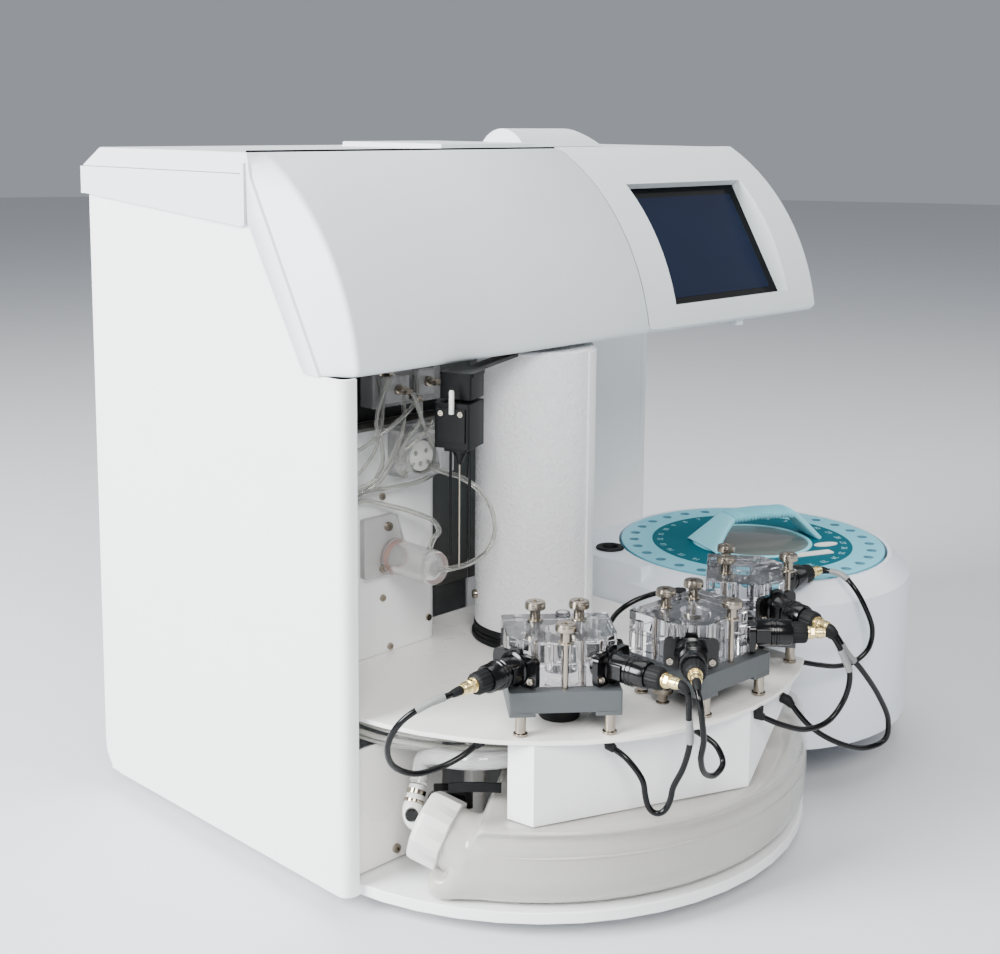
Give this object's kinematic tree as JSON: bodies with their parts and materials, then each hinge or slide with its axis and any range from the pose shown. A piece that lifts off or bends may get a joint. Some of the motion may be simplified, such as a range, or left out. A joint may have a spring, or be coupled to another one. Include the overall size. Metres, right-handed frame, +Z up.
{
  "type": "multiparameter bioanalyzer",
  "caption": "Bench-top bioanalyzer: white cabinet with lifting hood and tilted touch screen, round deck with clear measuring modules, swinging sipper, waste tank and sample turntable.",
  "frame": {"origin": "middle of the footprint without the free cables, on the table", "axes": "+X to the right seen from the front, +Y to the back, +Z up"},
  "size_m": [0.591, 0.4918, 0.51],
  "materials": {
    "white_paint": "satin white powder coat",
    "cool_white": "satin moulded plastic",
    "grey_sheet": "satin dark grey",
    "rubber": "matte",
    "black_metal": "satin black",
    "black_plastic": "satin",
    "steel": "bright",
    "clear_acrylic": "polished clear",
    "milky_plastic": "translucent",
    "nylon": "satin",
    "module_grey": "satin grey",
    "rotor_blue": "satin",
    "grip_blue": "satin",
    "screen_glass": "dark gloss",
    "paper": "matte",
    "clear_hose": "clear hose",
    "cable_black": "satin"
  },
  "bodies": {
    "cabinet": {"base_plate": "white_paint", "left_side_panel": "white_paint", "right_side_panel": "white_paint", "rear_panel": "white_paint", "recess_liner": "white_paint", "valve_panel": "white_paint", "deck_plate": "white_paint", "deck_skirt": "white_paint", "side_bracket": "white_paint", "trim_band": "cool_white", "top_cover": "cool_white", "display_housing": "cool_white", "turntable_housing": "cool_white", "sipper_back_plate": "grey_sheet", "foot_front_left": "rubber", "foot_front_right": "rubber", "foot_rear_left": "rubber", "foot_rear_right": "rubber", "column_collar": "rubber", "port_grommet": "rubber", "hood_hinge": "black_metal", "power_entry": "black_plastic", "printer_tray": "black_plastic", "module_left_probe_left": "black_plastic", "module_left_probe_right": "black_plastic", "module_middle_probe_left": "black_plastic", "module_middle_probe_right": "black_plastic", "module_right_probe_left": "black_plastic", "module_right_probe_right": "black_plastic", "pump_housing": "clear_acrylic", "bubble_cylinder": "clear_acrylic", "module_left_chamber": "clear_acrylic", "module_middle_chamber": "clear_acrylic", "module_right_chamber": "clear_acrylic", "waste_tank": "milky_plastic", "cap_elbow": "nylon", "module_left_base": "module_grey", "module_middle_base": "module_grey", "module_right_base": "module_grey", "touch_screen": "screen_glass", "drain_hose": "clear_hose", "cable_left_a": "cable_black", "cable_left_b": "cable_black", "cable_middle_a": "cable_black", "cable_middle_b": "cable_black", "cable_right_a": "cable_black", "cable_right_b": "cable_black", "sensor_cable": "cable_black"},
    "hood": {"hood": "cool_white"},
    "printer_cover": {"printer_cover": "cool_white"},
    "paper_roll": {"paper_roll": "paper"},
    "sipper_tower": {"column_cover": "white_paint", "sipper_arm": "black_plastic"},
    "sipper_carriage": {"sipper_carriage": "black_plastic", "sipper_needle": "steel"},
    "sample_rotor": {"sample_rotor": "rotor_blue", "rotor_handle": "grip_blue"},
    "pump_rotor": {"pump_rotor": "nylon"},
    "tank_cap": {"tank_cap": "nylon"},
    "power_rocker": {"power_rocker": "black_plastic"}
  },
  "joints": [
    {"name": "hood_lift", "type": "hinge", "parent": "cabinet", "child": "hood", "pos_m": [-0.138, 0.03635, 0.4925], "axis": [-1, 0, 0], "range_deg": [0, 70]},
    {"name": "printer_cover_lift", "type": "hinge", "parent": "cabinet", "child": "printer_cover", "pos_m": [0.062, 0.12305, 0.4953], "axis": [-1, 0, 0], "range_deg": [0, 80]},
    {"name": "paper_roll_spin", "type": "hinge", "parent": "cabinet", "child": "paper_roll", "pos_m": [0.062, 0.09845, 0.4867], "axis": [1, 0, 0], "continuous": true},
    {"name": "tower_swivel", "type": "hinge", "parent": "cabinet", "child": "sipper_tower", "pos_m": [-0.071, -0.02055, 0.25], "axis": [0, 0, 1], "range_deg": [0, 174]},
    {"name": "sipper_lift", "type": "slide", "parent": "sipper_tower", "child": "sipper_carriage", "axis": [0, 0, 1], "range_m": [-0.075, 0]},
    {"name": "rotor_spin", "type": "hinge", "parent": "cabinet", "child": "sample_rotor", "pos_m": [0.16, -0.05655, 0.15], "axis": [0, 0, 1], "continuous": true},
    {"name": "pump_spin", "type": "hinge", "parent": "cabinet", "child": "pump_rotor", "pos_m": [-0.162, 0.01045, 0.28], "axis": [0, 1, 0], "continuous": true},
    {"name": "cap_turn", "type": "hinge", "parent": "cabinet", "child": "tank_cap", "pos_m": [-0.24, -0.09455, 0.06], "axis": [-0.4197, 0.8494, 0.3198], "continuous": true},
    {"name": "power_switch", "type": "hinge", "parent": "cabinet", "child": "power_rocker", "pos_m": [-0.147, 0.22165, 0.07], "axis": [1, 0, 0], "range_deg": [0, 14]}
  ]
}
